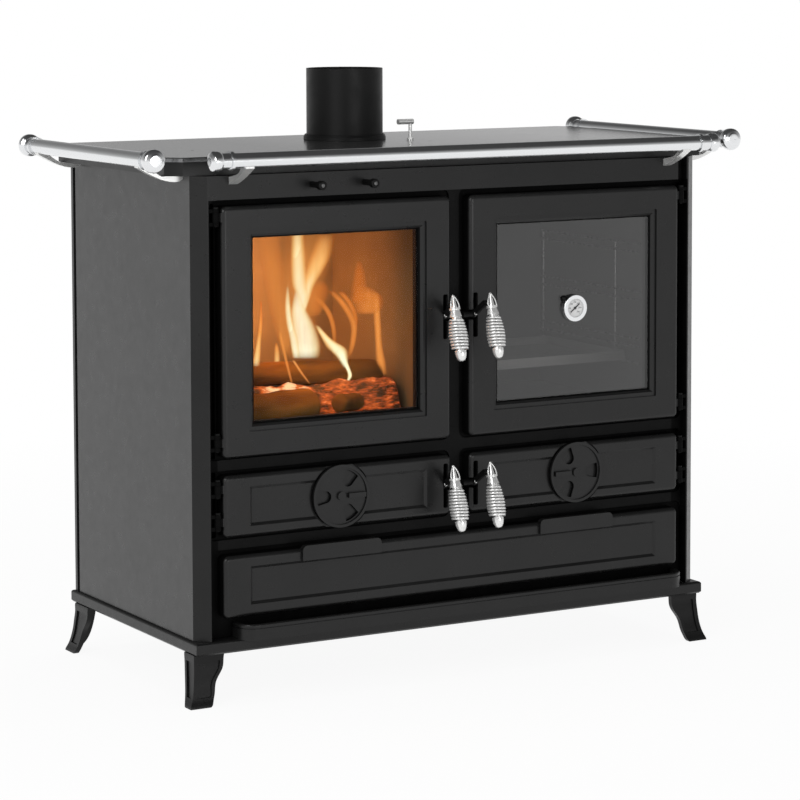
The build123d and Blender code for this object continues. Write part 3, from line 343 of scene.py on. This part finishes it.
def ember_material():
    """Ember bed: brown ash whose glow follows the warmth stored on it, broken up by lumps."""
    mat, tree, shader = new_material("embers")
    lumps = noise(tree, 95.0, 7.0, 0.68, (0.55, 1, 1.7))
    tone = ramp(tree, lumps, [(0.3, (0.07, 0.03, 0.006)), (0.7, (0.16, 0.075, 0.016))])
    tree.links.new(tone, shader.inputs["Base Color"])
    shader.inputs["Roughness"].default_value = 0.95
    patches = maths(tree, "MULTIPLY_ADD", lumps, 1.9, -1.02)
    warmth = maths(tree, "ADD", patches, attribute(tree, "warmth"))
    stops = [(0.15, (0.0, 0.0, 0.0)), (0.35, (0.25, 0.03, 0.004)), (0.6, (0.68, 0.12, 0.015)),
             (0.9, (0.95, 0.66, 0.34))]
    tree.links.new(ramp(tree, warmth, stops), shader.inputs["Emission Color"])
    shader.inputs["Emission Strength"].default_value = 1.0
    bump(tree, shader, lumps, 0.7, 0.006)
    return mat


door_half_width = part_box("drawer_front")[1][0] + 0.0003     # only hinge lugs and knuckles lie beyond it
recess_half_width, recess_depth = 0.451, 0.020     # the recess in the front casting, behind the doors
door_face_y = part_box("fire_door_frame")[0][1]
casting_face_y = door_face_y + 0.005     # the casting's face lies 5 mm behind the doors'
recess_top_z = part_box("fire_door_frame")[1][2] + 0.010
window_shade_depth = 0.0062               # how far behind the doors' face the painted shade turns the glazed doors dull black
small_shade_depth = 0.0052                # the same for the low doors and the drawer
disc_shade_depth = 0.0005                 # and for the air discs
bright_tone = ((0.80, 0.80, 0.79), 0.20, 0.62)     # tint, roughness and metal of the small bright fittings
window_paint = shaded_door_paint("window_door_paint", door_face_y + window_shade_depth)
door_paint = shaded_door_paint("small_door_paint", door_face_y + small_shade_depth)
disc_paint = shaded_door_paint("disc_paint", door_face_y + disc_shade_depth)
leg_paint = painted("leg_paint", 0.004, 0.006, 0.30, gloss=0.22)
bright_plating = chromed("bright_plating", *bright_tone)
knob_black = painted("knob_black", 0.002, 0.004, 0.35, 500.0, 0.1, gloss=0.12)
materials = {
    "black_cast": painted("black_cast", 0.006, 0.009, 0.30, gloss=0.30),
    # the side panels: the black paint made lighter and glossier, painted light for the lit sides
    "panel_grey": painted("panel_grey", 0.011, 0.016, 0.30, 700.0, 0.12, gloss=0.46),
    "black_steel": painted("black_steel", 0.004, 0.006, 0.42, 500.0, 0.1, gloss=0.17),
    "hob_steel": hob_material(),
    "chrome": chromed("chrome", (0.80, 0.81, 0.82), 0.16),
    "glass": glass_material("glass", (0.50, 0.50, 0.50), 1.58),
    "rope_seal": rope_material(),
    "firebrick": brick_material(),
    "oven_enamel": painted("oven_enamel", 0.09, 0.13, 0.35, 300.0, 0.1),
    "dial_white": painted("dial_white", 0.70, 0.76, 0.5, 300.0, 0.02),
    "needle_black": painted("needle_black", 0.010, 0.012, 0.4, 300.0, 0.02),
}
special = {
    "front_casting": casting_material(),
    "fire_door_glass": glass_material("fire_glass", (0.97, 0.97, 0.97), 1.12),
    "inner_shell": painted("dull_black", 0.004, 0.007, 0.7, 300.0, 0.2, gloss=0.1),
    "oven_rack_rails": chromed("rack_wire", (0.62, 0.62, 0.63), 0.25),
    "oven_tray": painted("tray_enamel", 0.34, 0.42, 0.35, 300.0, 0.1),
    "hinge_pins": knob_black,
    "air_rod_left": knob_black,
    "air_rod_right": knob_black,
    "rail_brackets": bright_plating,
    "damper_handle": bright_plating,
    "fire_door_frame": window_paint,
    "oven_door_frame": window_paint,
    "lower_left_door": door_paint,
    "lower_right_door": door_paint,
    "drawer_front": door_paint,
}
for leg in ("front_left", "front_right", "back_left", "back_right"):
    special["leg_" + leg] = leg_paint
for latch in ("fire", "oven", "lower_left", "lower_right"):
    special[latch + "_grip_coil"] = bright_plating
    special[latch + "_grip_core"] = grip_core_material(latch)
for side in ("left", "right"):
    special["lower_" + side + "_air_disc"] = disc_paint
for part in frame["record"]["subparts"]:
    obj = nodes[part["node"]]
    obj.data.materials.clear()
    obj.data.materials.append(special.get(part["node"], materials[part["material_slot"]]))

# ---------------------------------------------------------------- pieces


def add_piece(name, mesh, body, material, smooth=True):
    """Puts a mesh in the scene as a piece that rides on a body."""
    obj = bpy.data.objects.new(name, mesh)
    bpy.context.scene.collection.objects.link(obj)
    mesh.materials.append(material)
    for face in mesh.polygons:
        face.use_smooth = smooth
    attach(obj, body)
    return obj


def finished(bm, name):
    """The mesh of a closed skin, with its faces turned outwards."""
    bmesh.ops.recalc_face_normals(bm, faces=bm.faces)
    mesh = bpy.data.meshes.new(name)
    bm.to_mesh(mesh)
    bm.free()
    return mesh


def tube_mesh(name, rings):
    """A closed skin over rings of points, with a flat face at each end."""
    bm = bmesh.new()
    loops = [[bm.verts.new(point) for point in ring] for ring in rings]
    for low, high in zip(loops, loops[1:]):
        for k in range(len(low)):
            n = (k + 1) % len(low)
            bm.faces.new((low[k], low[n], high[n], high[k]))
    bm.faces.new(loops[0][::-1])
    bm.faces.new(loops[-1])
    return finished(bm, name)


# ---------------------------------------------------------------- fire
fire_y = -0.107               # the flames stand in this plane, in front of the log at the back
flame_turn = radians(-30)     # each is turned about its height: its flat side faces the photo's camera
flame_shader = flame_material()
log_shader, ember_shader = wood_material(), ember_material()

# each flame: name, warmth at its foot and at its tip, opacity, and the spine from foot to tip
# as rows of x, z and width in mm
flames = (
    ("flame_main", 1.0, 0.98, 1.0,
     ((-226, 523, 46), (-227, 545, 50), (-231, 570, 44), (-237, 594, 32), (-241, 611, 20), (-243, 632, 8))),
    ("flame_left", 1.0, 0.85, 0.8,
     ((-244, 524, 12), (-248, 553, 15), (-256, 583, 13), (-259, 611, 11), (-259, 642, 6))),
    ("flame_tall", 1.0, 0.80, 0.95,
     ((-238, 600, 10), (-233, 622, 20), (-237, 644, 26), (-239, 672, 26), (-240, 705, 24), (-241, 752, 20))),
    ("flame_lean", 1.0, 0.62, 1.0,
     ((-237, 585, 8), (-230, 614, 19), (-222, 639, 21), (-210, 664, 30), (-198, 690, 36), (-188, 722, 32))),
    ("flame_low", 0.85, 0.4, 0.8,
     ((-317, 516, 14), (-312, 553, 9), (-308, 583, 7), (-307, 621, 4))),
    ("flame_bud", 0.8, 0.55, 0.6,
     ((-279, 520, 11), (-279, 536, 10), (-280, 552, 5))),
    ("flame_node", 0.8, 1.0, 1.0,
     ((-206, 575, 8), (-188, 552, 17), (-170, 536, 32), (-160, 522, 22), (-153, 502, 8))),
    ("flame_tail", 1.0, 0.9, 1.0,
     ((-162, 526, 14), (-151, 505, 9), (-145, 489, 8), (-151, 478, 6))),
    ("flame_arc_a", 0.44, 0.42, 0.65,
     ((-206, 621, 13), (-187, 599, 12), (-176, 573, 10), (-173, 540, 8))),
    ("flame_arc_b", 0.45, 0.47, 0.75,
     ((-179, 630, 15), (-154, 603, 14), (-138, 572, 12), (-140, 541, 11), (-147, 520, 9))),
    ("flame_arc_c", 0.42, 0.36, 0.6,
     ((-162, 628, 14), (-144, 606, 12), (-135, 584, 10), (-135, 560, 7))),
    ("flame_veil_a", 0.42, 0.30, 0.5,
     ((-212, 590, 24), (-208, 618, 40), (-202, 634, 36), (-198, 648, 16))),
    ("flame_veil_b", 0.44, 0.40, 0.65,
     ((-112, 588, 40), (-110, 603, 52), (-112, 618, 50), (-118, 634, 22))),
    ("flame_plume", 0.36, 0.2, 0.5,
     ((-127, 605, 34), (-127, 640, 26), (-127, 676, 12))),
    ("flame_strip", 0.54, 0.52, 0.8,
     ((-96, 622, 12), (-93, 570, 13), (-91, 537, 13), (-87, 507, 17), (-80, 486, 10))),
    ("flame_haze_a", 0.54, 0.46, 0.34,
     ((-262, 530, 16), (-272, 590, 32), (-283, 660, 40), (-296, 745, 40))),
    ("flame_haze_b", 0.54, 0.56, 0.32,
     ((-232, 525, 84), (-240, 600, 60), (-226, 670, 84), (-216, 742, 92))),
    ("flame_wisp_a", 0.6, 0.5, 0.5,
     ((-274, 570, 7), (-262, 520, 6), (-250, 476, 4))),
    ("flame_wisp_b", 0.7, 0.5, 0.5,
     ((-250, 522, 6), (-234, 499, 6), (-219, 480, 4))),
)


def along(spine, share):
    """A point on the smooth curve through a spine's rows."""
    place = share * (len(spine) - 1)
    k = min(int(place), len(spine) - 2)
    t = place - k
    rows = [Vector(spine[min(max(k + step, 0), len(spine) - 1)]) for step in (-1, 0, 1, 2)]
    bend = 2 * rows[0] - 5 * rows[1] + 4 * rows[2] - rows[3]
    twist = 3 * (rows[1] - rows[2]) + rows[3] - rows[0]
    return 0.5 * (2 * rows[1] + (rows[2] - rows[0]) * t + bend * t * t + twist * t * t * t)


def flame(name, foot_warmth, tip_warmth, opacity, spine):
    """A tongue of fire: an oval skin round a curved spine that thins towards its edges and its ends."""
    sides, steps, flatness = 20, 22, 0.3
    foot_fade, tip_fade = 0.16, 0.30     # the shares of its length over which it fades in and out
    foot_least, tip_least = 0.1, 0.05    # how much of it is left at its very ends
    edge_warmth = 0.74                   # the warmth of its edges as a share of its core's
    edge_falloff = 2.4                   # how fast it thins towards its edges
    across = Vector((cos(flame_turn), sin(flame_turn), 0))
    inwards = Vector((-sin(flame_turn), cos(flame_turn), 0))
    rings, warmths, bodies = [], [], []
    for i in range(steps + 1):
        share = i / steps
        x, z, width = along(spine, share)
        centre = Vector((x * MM, fire_y, z * MM))
        half = max(width, 1.0) * MM / 2
        end_fade = min(1.0, share / foot_fade + foot_least, (1 - share) / tip_fade + tip_least)
        ring = []
        for k in range(sides):
            turn = 2 * pi * k / sides
            ring.append(centre + across * half * cos(turn) + inwards * half * flatness * sin(turn))
            core = edge_warmth + (1 - edge_warmth) * sin(turn) ** 2
            warmths.append((foot_warmth + (tip_warmth - foot_warmth) * share) * core)
            bodies.append(opacity * end_fade * abs(sin(turn)) ** edge_falloff)
        rings.append(ring)
    mesh = tube_mesh(name, rings)
    for label, values in (("warmth", warmths), ("thickness", bodies)):
        mesh.attributes.new(label, "FLOAT", "POINT").data.foreach_set("value", values)
    obj = add_piece(name, mesh, "stove_body", flame_shader)
    obj.visible_shadow = False


def log(name, start, end, radius, seed):
    """A round log between two points, in mm, its bark uneven and its ends blunt."""
    start, end = Vector(start) * MM, Vector(end) * MM
    axis = (end - start).normalized()
    side = axis.cross(Vector((0, 0, 1))).normalized()
    up = side.cross(axis)
    steps, sides = 22, 18
    bark_depth, bark_length, bark_girth = 0.22, 5, 1.3     # share of the radius, noise along and around it
    blunt_from, blunt_by = 0.9, 0.25     # beyond this share of its half length it shrinks by this share
    rings = []
    for i in range(steps + 1):
        share = i / steps
        centre = start.lerp(end, share)
        blunt = 1 - blunt_by * max(0.0, abs(2 * share - 1) - blunt_from) / (1 - blunt_from)
        ring = []
        for k in range(sides):
            turn = 2 * pi * k / sides
            spot = (share * bark_length + seed, cos(turn) * bark_girth, sin(turn) * bark_girth)
            knob = mathutils_noise.noise(Vector(spot))
            r = radius * MM * blunt * (1 + bark_depth * knob)
            ring.append(centre + (side * cos(turn) + up * sin(turn)) * r)
        rings.append(ring)
    obj = add_piece(name, tube_mesh(name, rings), "stove_body", log_shader)
    modifier = obj.modifiers.new("round", "SUBSURF")
    modifier.levels = modifier.render_levels = 1


ember_spots = (            # x, y, reach and warmth of the hottest places
    (-0.292, -0.118, 0.030, 0.95), (-0.258, -0.118, 0.024, 1.15), (-0.232, -0.120, 0.022, 1.05),
    (-0.205, -0.140, 0.016, 1.00), (-0.345, -0.110, 0.030, 0.55), (-0.160, -0.110, 0.045, 0.50),
    (-0.110, -0.085, 0.045, 0.60), (-0.120, -0.140, 0.045, 0.50), (-0.190, -0.120, 0.030, 0.45),
    (-0.080, -0.120, 0.035, 0.40))


def ember_bed():
    """A heap of embers and ash over the grate, higher behind than at the door, hottest under the log."""
    (x0, y0, _), (x1, y1, grate_top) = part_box("fire_grate")
    overhang, back_gap = 0.004, 0.02
    x0, x1, y0, y1 = x0 - overhang, x1 + overhang, y0 - overhang, y1 - back_gap
    front_height, back_rise = 0.030, 0.050
    lump_height, lumps_per_metre, lump_seed = 0.008, 30, 3.7
    side_slope, right_slope, clearance = 12, 30, 0.0005     # the heap falls away at its edges
    slope_y, slope_depth = -0.150, 0.045     # the heap rises over this depth from this place
    nx, ny = 66, 54
    bm = bmesh.new()
    warmths = []
    top = []
    for i in range(nx + 1):
        row = []
        for j in range(ny + 1):
            u, v = i / nx, j / ny
            x, y = x0 + (x1 - x0) * u, y0 + (y1 - y0) * v
            spot = Vector((x * lumps_per_metre, y * lumps_per_metre, lump_seed))
            lump = mathutils_noise.fractal(spot, 0.9, 2.0, 4)
            edge = min(1.0, side_slope * u, right_slope * (1 - u), side_slope * min(v, 1 - v))
            rise = min(1.0, max(0.0, (y - slope_y) / slope_depth))
            rise = rise * rise * (3 - 2 * rise)
            height = front_height + back_rise * rise + lump_height * lump
            row.append(bm.verts.new((x, y, grate_top + clearance + edge * height)))
            spots = [warmth * max(0.0, 1 - (Vector((x - spot_x, y - spot_y)).length / reach) ** 2)
                     for spot_x, spot_y, reach, warmth in ember_spots]
            warmths.append(max(spots))
        top.append(row)
    for i in range(nx):
        for j in range(ny):
            bm.faces.new((top[i][j], top[i + 1][j], top[i + 1][j + 1], top[i][j + 1]))
    rim = [top[i][0] for i in range(nx + 1)] + [top[nx][j] for j in range(1, ny + 1)]
    rim += [top[i][ny] for i in range(nx - 1, -1, -1)] + [top[0][j] for j in range(ny - 1, 0, -1)]
    bm.faces.new(rim[::-1])
    mesh = finished(bm, "ember_bed")
    mesh.attributes.new("warmth", "FLOAT", "POINT").data.foreach_set("value", warmths)
    add_piece("ember_bed", mesh, "stove_body", ember_shader)


for row in flames:
    flame(*row)
log("log_back", (-392, -76, 502), (-76, -90, 490), 20, 1.3)
log("log_front", (-398, -154, 446), (-226, -132, 448), 30, 4.1)
log("log_small", (-190, -150, 452), (-136, -116, 446), 15, 7.7)
ember_bed()


def area_light(name, place, aim, size, power, colour=(1, 1, 1)):
    """A light turned towards a point: a disc of one size, or a rectangle of a width and a height."""
    light = bpy.data.lights.new(name, "AREA")
    light.shape = "RECTANGLE" if len(size) == 2 else "DISK"
    light.size, light.size_y = size[0], size[-1]
    light.energy = power
    light.color = colour
    obj = bpy.data.objects.new(name, light)
    obj.location = place
    obj.rotation_euler = (Vector(aim) - Vector(place)).to_track_quat("-Z", "Y").to_euler()
    bpy.context.scene.collection.objects.link(obj)
    return obj


# lamps inside the stove: each shines one way, away from the glass
area_light("fire_glow", (-0.31, -0.03, 0.61), (-0.25, 0.17, 0.62), (0.14,), 1.6, (1.0, 0.46, 0.23))
area_light("fire_fill", (-0.31, -0.09, 0.58), (-0.06, 0.06, 0.58), (0.10,), 0.16, (1.0, 0.42, 0.16))
area_light("ember_glow", (-0.24, -0.16, 0.60), (-0.23, -0.09, 0.46), (0.10,), 0.30, (1.0, 0.40, 0.12))
area_light("oven_lamp", (0.23, -0.16, 0.60), (0.23, 0.2, 0.58), (0.30,), 0.22, (1.0, 0.98, 0.95))

# ---------------------------------------------------------------- small trim


def turned_piece(name, profile, place, body, material):
    """A small piece turned about -Y, from its profile of radius and height over a place."""
    sides = 24
    rings = []
    for radius, height in profile:
        ring = []
        for k in range(sides):
            turn = 2 * pi * k / sides
            ring.append(Vector(place) + Vector((radius * cos(turn), -height, radius * sin(turn))))
        rings.append(ring)
    add_piece(name, tube_mesh(name, rings), body, material)


stud_profile = [(0.0033, -0.0004), (0.0033, 0.0004), (0.0029, 0.0013), (0.0020, 0.0020), (0.0008, 0.0024)]
stud_out, stud_up = 0.001, 0.002     # in front of the doors' face, and above the latch's pivot
for joint in frame["joints"]:
    if "latch" in joint["name"]:
        x, _, z = joint["pos_m"]
        place = (x, door_face_y - stud_out, z + stud_up)
        turned_piece(joint["child"] + "_stud", stud_profile, place, joint["child"], bright_plating)
eye_grey = painted("rod_eye_grey", 0.07, 0.10, 0.3, 300.0, 0.1)
eye_profile = [(0.0030, -0.0003), (0.0030, 0.0002), (0.0024, 0.0006), (0.0008, 0.0008)]
for side in ("left", "right"):
    (x0, y0, z0), (x1, _, z1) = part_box("air_rod_" + side)
    place = ((x0 + x1) / 2, y0, (z0 + z1) / 2)
    turned_piece("air_rod_eye_" + side, eye_profile, place, side + "_pull_rod", eye_grey)

(case_x0, _, _), (_, case_back, case_z1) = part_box("thermometer_case")
# a small black clip at the dial case's upper left; its black there also stands in for a small shadow, painted
# shade
clip_profile = [(0.0050, 0.0), (0.0050, 0.0030), (0.0042, 0.0042), (0.0015, 0.0046)]
clip_in, clip_down = 0.0035, 0.0060     # from the case's left side and from its top
clip_place = (case_x0 + clip_in, case_back, case_z1 - clip_down)
turned_piece("thermometer_clip", clip_profile, clip_place, "oven_door", knob_black)

# dial marks: a ring of ticks and plain numbers, printed just proud of the dial
(dx0, dial_y, dz0), (dx1, _, dz1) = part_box("thermometer_dial")
dial_x, dial_z, dial_r = (dx0 + dx1) / 2, (dz0 + dz1) / 2, (dx1 - dx0) / 2
print_height, print_sink = 0.00012, 0.00002     # the print stands over the dial, and reaches into it


def printed_bar(bm, centre, direction, length, width):
    """A thin printed bar on the dial, as a closed box."""
    across = Vector((-direction.z, 0, direction.x))
    corners = []
    for depth in (print_sink, -print_height):
        for a, b in ((-1, -1), (1, -1), (1, 1), (-1, 1)):
            point = centre + direction * a * length / 2 + across * b * width / 2
            corners.append(bm.verts.new((point.x, dial_y + depth, point.z)))
    for quad in ((0, 1, 2, 3), (7, 6, 5, 4), (0, 4, 5, 1), (1, 5, 6, 2), (2, 6, 7, 3), (3, 7, 4, 0)):
        bm.faces.new([corners[k] for k in quad])


def dial_direction(share):
    """Out from the dial's middle towards a share of its scale, which leaves a gap at the bottom."""
    scale_sweep = 270
    turn = radians(scale_sweep * (share - 0.5))
    return Vector((sin(turn), 0, cos(turn)))


dial_middle = Vector((dial_x, 0, dial_z))
tick_count, ticks_per_number, number_count, number_step = 25, 4, 7, 50
long_tick, short_tick = (0.16, 0.00045), (0.08, 0.00028)     # length as a share of the radius, width in m
tick_end, number_reach, number_size = 0.92, 0.62, 0.24     # as shares of the dial's radius
bm = bmesh.new()
for k in range(tick_count):
    out = dial_direction(k / (tick_count - 1))
    length, width = short_tick if k % ticks_per_number else long_tick
    length *= dial_r
    printed_bar(bm, dial_middle + out * (dial_r * tick_end - length / 2), out, length, width)
add_piece("dial_ticks", finished(bm, "dial_ticks"), "oven_door", materials["needle_black"],
          smooth=False)
for k in range(number_count):
    number = str(number_step * k)
    curve = bpy.data.curves.new("number", "FONT")
    curve.body = number
    curve.size = dial_r * number_size
    curve.extrude = print_height / 2
    curve.align_x = curve.align_y = "CENTER"
    text = bpy.data.objects.new("number", curve)
    mesh = bpy.data.meshes.new_from_object(text)
    bpy.data.objects.remove(text)
    place = dial_middle + dial_direction(k / (number_count - 1)) * dial_r * number_reach
    place.y = dial_y - print_height / 2
    mesh.transform(Matrix.Translation(place) @ Matrix.Rotation(radians(90), 4, "X"))
    add_piece("dial_number_" + number, mesh, "oven_door", materials["needle_black"],
              smooth=False)

# ---------------------------------------------------------------- stage, light and camera


def seen_background(tree):
    """1 for rays that carry the background: from the camera, a reflection or through glass."""
    path = tree.nodes.new("ShaderNodeLightPath")
    either = maths(tree, "MAXIMUM", path.outputs["Is Camera Ray"], path.outputs["Is Glossy Ray"])
    return maths(tree, "MAXIMUM", either, path.outputs["Is Transmission Ray"])


def floor():
    """A pale floor that reads white, keeps the stove's shadow and fades into the backdrop."""
    near_share, far_share = 0.93, 1.0     # how much plain white shows, up to near_reach and from far_reach on
    near_reach, far_reach = 0.9, 2.5
    width, drop = 60, 0.0005              # the drop keeps it from sharing a plane with the feet
    mat, tree, shader = new_material("pale_floor")
    shader.inputs["Base Color"].default_value = (0.82, 0.82, 0.82, 1)
    shader.inputs["Roughness"].default_value = 0.9
    white = add_node(tree, "ShaderNodeEmission", Strength=1.0)
    place = tree.nodes.new("ShaderNodeTexCoord")
    distance = add_node(tree, "ShaderNodeVectorMath", operation="LENGTH")
    tree.links.new(place.outputs["Object"], distance.inputs[0])
    fade = spread(tree, distance.outputs["Value"], near_reach, far_reach, To_Min=near_share, To_Max=far_share)
    share = maths(tree, "MULTIPLY", seen_background(tree), fade)
    show(tree, mixed(tree, share, shader.outputs["BSDF"], white.outputs["Emission"]))
    bpy.ops.mesh.primitive_plane_add(size=width, location=(0, 0, -drop))
    obj = bpy.context.object
    obj.name = "floor"
    obj.data.materials.append(mat)


def world():
    """A pale studio: white to the camera, greyer above the horizon in reflections, dark overhead."""
    scene_world = bpy.data.worlds.new("studio")
    bpy.context.scene.world = scene_world
    scene_world.use_nodes = True
    tree = scene_world.node_tree
    lighting = tree.nodes["Background"]
    lighting.inputs["Color"].default_value = (1, 1, 1, 1)
    lighting.inputs["Strength"].default_value = 0.45
    height = coordinate(tree, "Z", "Generated")
    walls = ramp(tree, height, [(0.0, 0.95), (0.08, 0.55), (0.30, 0.30), (0.60, 0.05)])
    reflected = add_node(tree, "ShaderNodeBackground", Strength=1.0)
    tree.links.new(walls, reflected.inputs["Color"])
    seen = add_node(tree, "ShaderNodeBackground", Strength=1.0)
    seen.inputs["Color"].default_value = (1, 1, 1, 1)
    path = tree.nodes.new("ShaderNodeLightPath")
    lit = lighting.outputs["Background"]
    unseen = mixed(tree, path.outputs["Is Glossy Ray"], lit, reflected.outputs["Background"])
    final = mixed(tree, path.outputs["Is Camera Ray"], unseen, seen.outputs["Background"])
    tree.links.new(final, tree.nodes["World Output"].inputs["Surface"])


# the camera that was fitted to the photo
camera_azimuth, camera_pitch, camera_roll = -29.657, 4.740, -0.163
camera_place = Vector((-2.5045, -4.4084, 1.1621))
focal_px, centre_px = 3025.4, (397.2, 212.9)
frame_px, sensor_mm = 800.0, 36.0


def camera():
    """The fitted camera: its angles give its axes, and the lens is shifted to the photo's optical centre."""
    data = bpy.data.cameras.new("photo_camera")
    data.sensor_width = sensor_mm
    data.lens = focal_px / frame_px * sensor_mm
    data.shift_x = (frame_px / 2 - centre_px[0]) / frame_px
    data.shift_y = (centre_px[1] - frame_px / 2) / frame_px
    data.clip_end = 100
    obj = bpy.data.objects.new("photo_camera", data)
    az, pitch, roll = radians(camera_azimuth), radians(camera_pitch), radians(camera_roll)
    back = Vector((sin(az) * cos(pitch), -cos(az) * cos(pitch), sin(pitch)))
    right = Vector((cos(az), sin(az), 0))
    up = back.cross(right)
    right, up = cos(roll) * right + sin(roll) * up, cos(roll) * up - sin(roll) * right
    obj.matrix_world = Matrix((right, up, back)).transposed().to_4x4()
    obj.matrix_world.translation = camera_place
    bpy.context.scene.collection.objects.link(obj)
    bpy.context.scene.camera = obj


floor()
world()
area_light("key", (-3.6, -2.4, 2.6), (0, 0, 0.5), (2.4, 2.2), 90)
area_light("front_fill", (0.2, -4.8, 1.0), (0, 0, 0.6), (2.4, 1.2), 34)
area_light("top", (0, 0.2, 3.4), (0, 0, 0.8), (3.0, 2.0), 50).visible_glossy = False
camera()

bpy.context.scene.view_settings.view_transform = "Standard"
